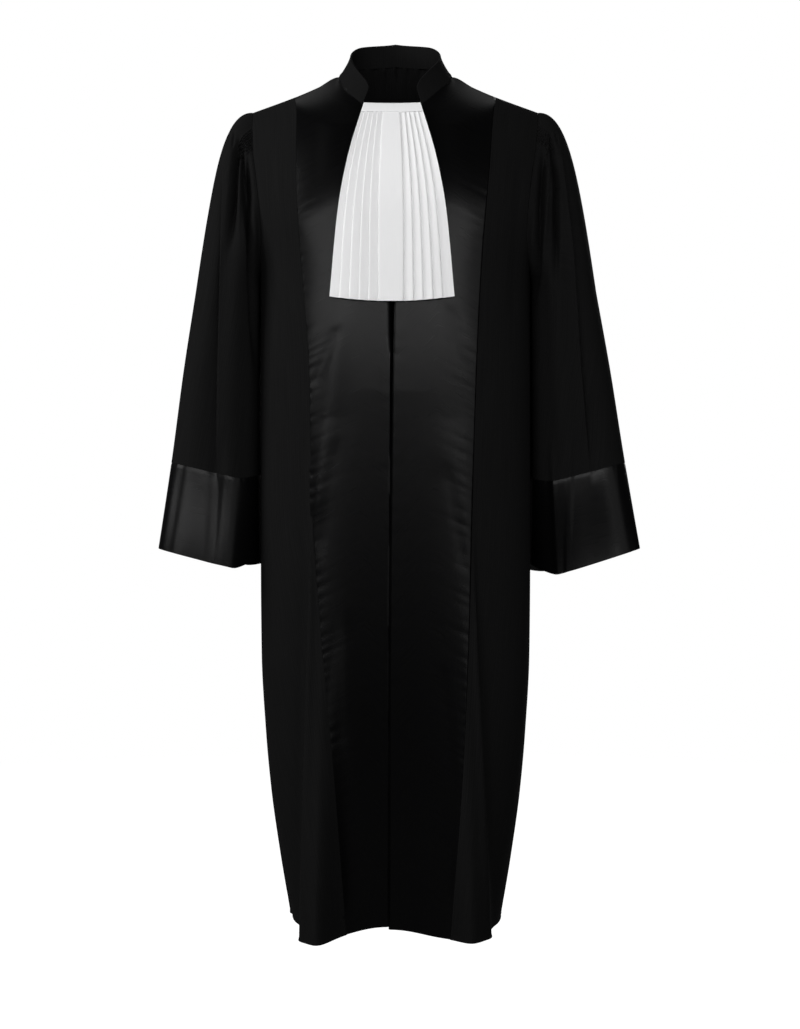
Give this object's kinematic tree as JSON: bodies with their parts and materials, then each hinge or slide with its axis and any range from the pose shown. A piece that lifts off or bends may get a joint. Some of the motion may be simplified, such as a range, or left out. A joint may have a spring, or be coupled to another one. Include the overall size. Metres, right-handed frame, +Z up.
{
  "type": "judicial robe",
  "caption": "Black court robe in its worn form, with satin facings and cuffs, a stand collar, pleated sleeve heads and a white knife-pleated jabot.",
  "frame": {"origin": "middle of the shoulder line at the neck, where the wearer's shoulders hold the robe up", "axes": "+Z up, the front faces -Y, +X towards the wearer's left"},
  "size_m": [0.742, 0.3916, 1.3832],
  "materials": {
    "wool": "matte fine-ribbed worsted",
    "satin": "satin",
    "linen": "matte pleated batiste"
  },
  "bodies": {
    "root": {"collar": "wool", "back": "wool", "front_right": "wool", "front_left": "wool", "sleeve_right": "wool", "sleeve_left": "wool", "facing_right": "satin", "facing_left": "satin", "cuff_right": "satin", "cuff_left": "satin", "jabot": "linen", "jabot_band": "linen"}
  },
  "joints": []
}
